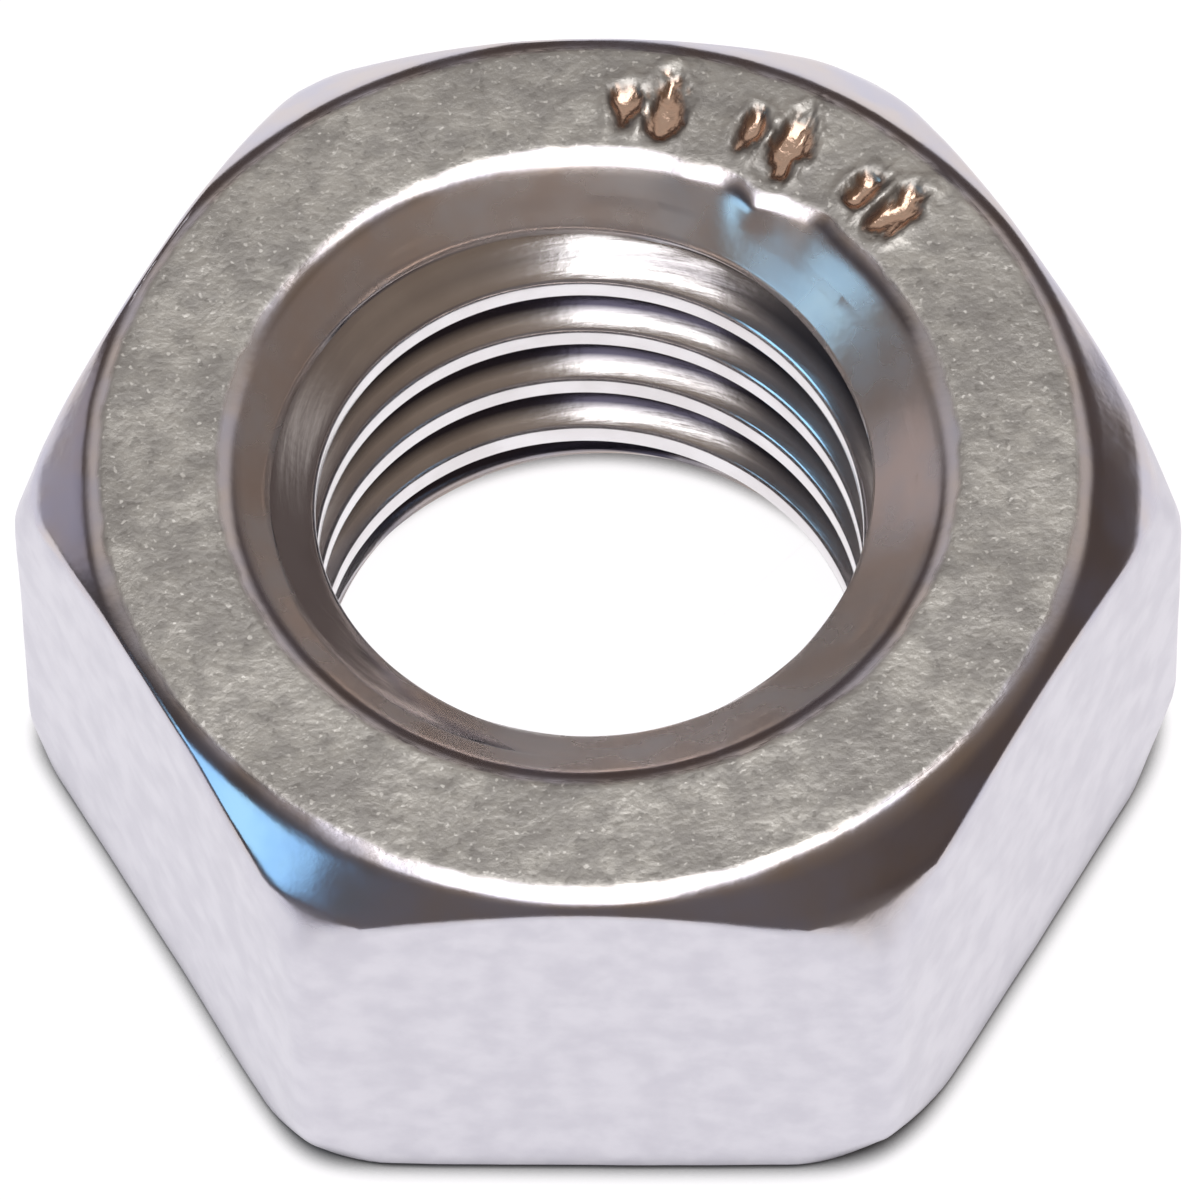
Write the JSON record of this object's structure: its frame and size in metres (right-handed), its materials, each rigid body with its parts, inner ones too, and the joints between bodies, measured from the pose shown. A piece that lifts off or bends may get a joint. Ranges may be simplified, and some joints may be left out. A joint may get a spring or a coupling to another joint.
{
  "type": "hex nut",
  "caption": "Hexagonal steel nut with chamfered ends, countersunk bore and internal right-hand metric thread.",
  "frame": {"origin": "centre of the lower bearing face, on the thread axis", "axes": "+Z along the thread axis towards the stamped face, +X towards a corner of the hexagon, +Y square to a wrench flat"},
  "size_m": [0.0218, 0.019, 0.0098],
  "materials": {
    "steel": "bare cold-forged steel: pickled grainy bearing faces, smooth turned chamfers and countersinks, bright cut thread, satin wrench flats"
  },
  "bodies": {
    "root": {"nut_body": "steel"}
  },
  "joints": []
}
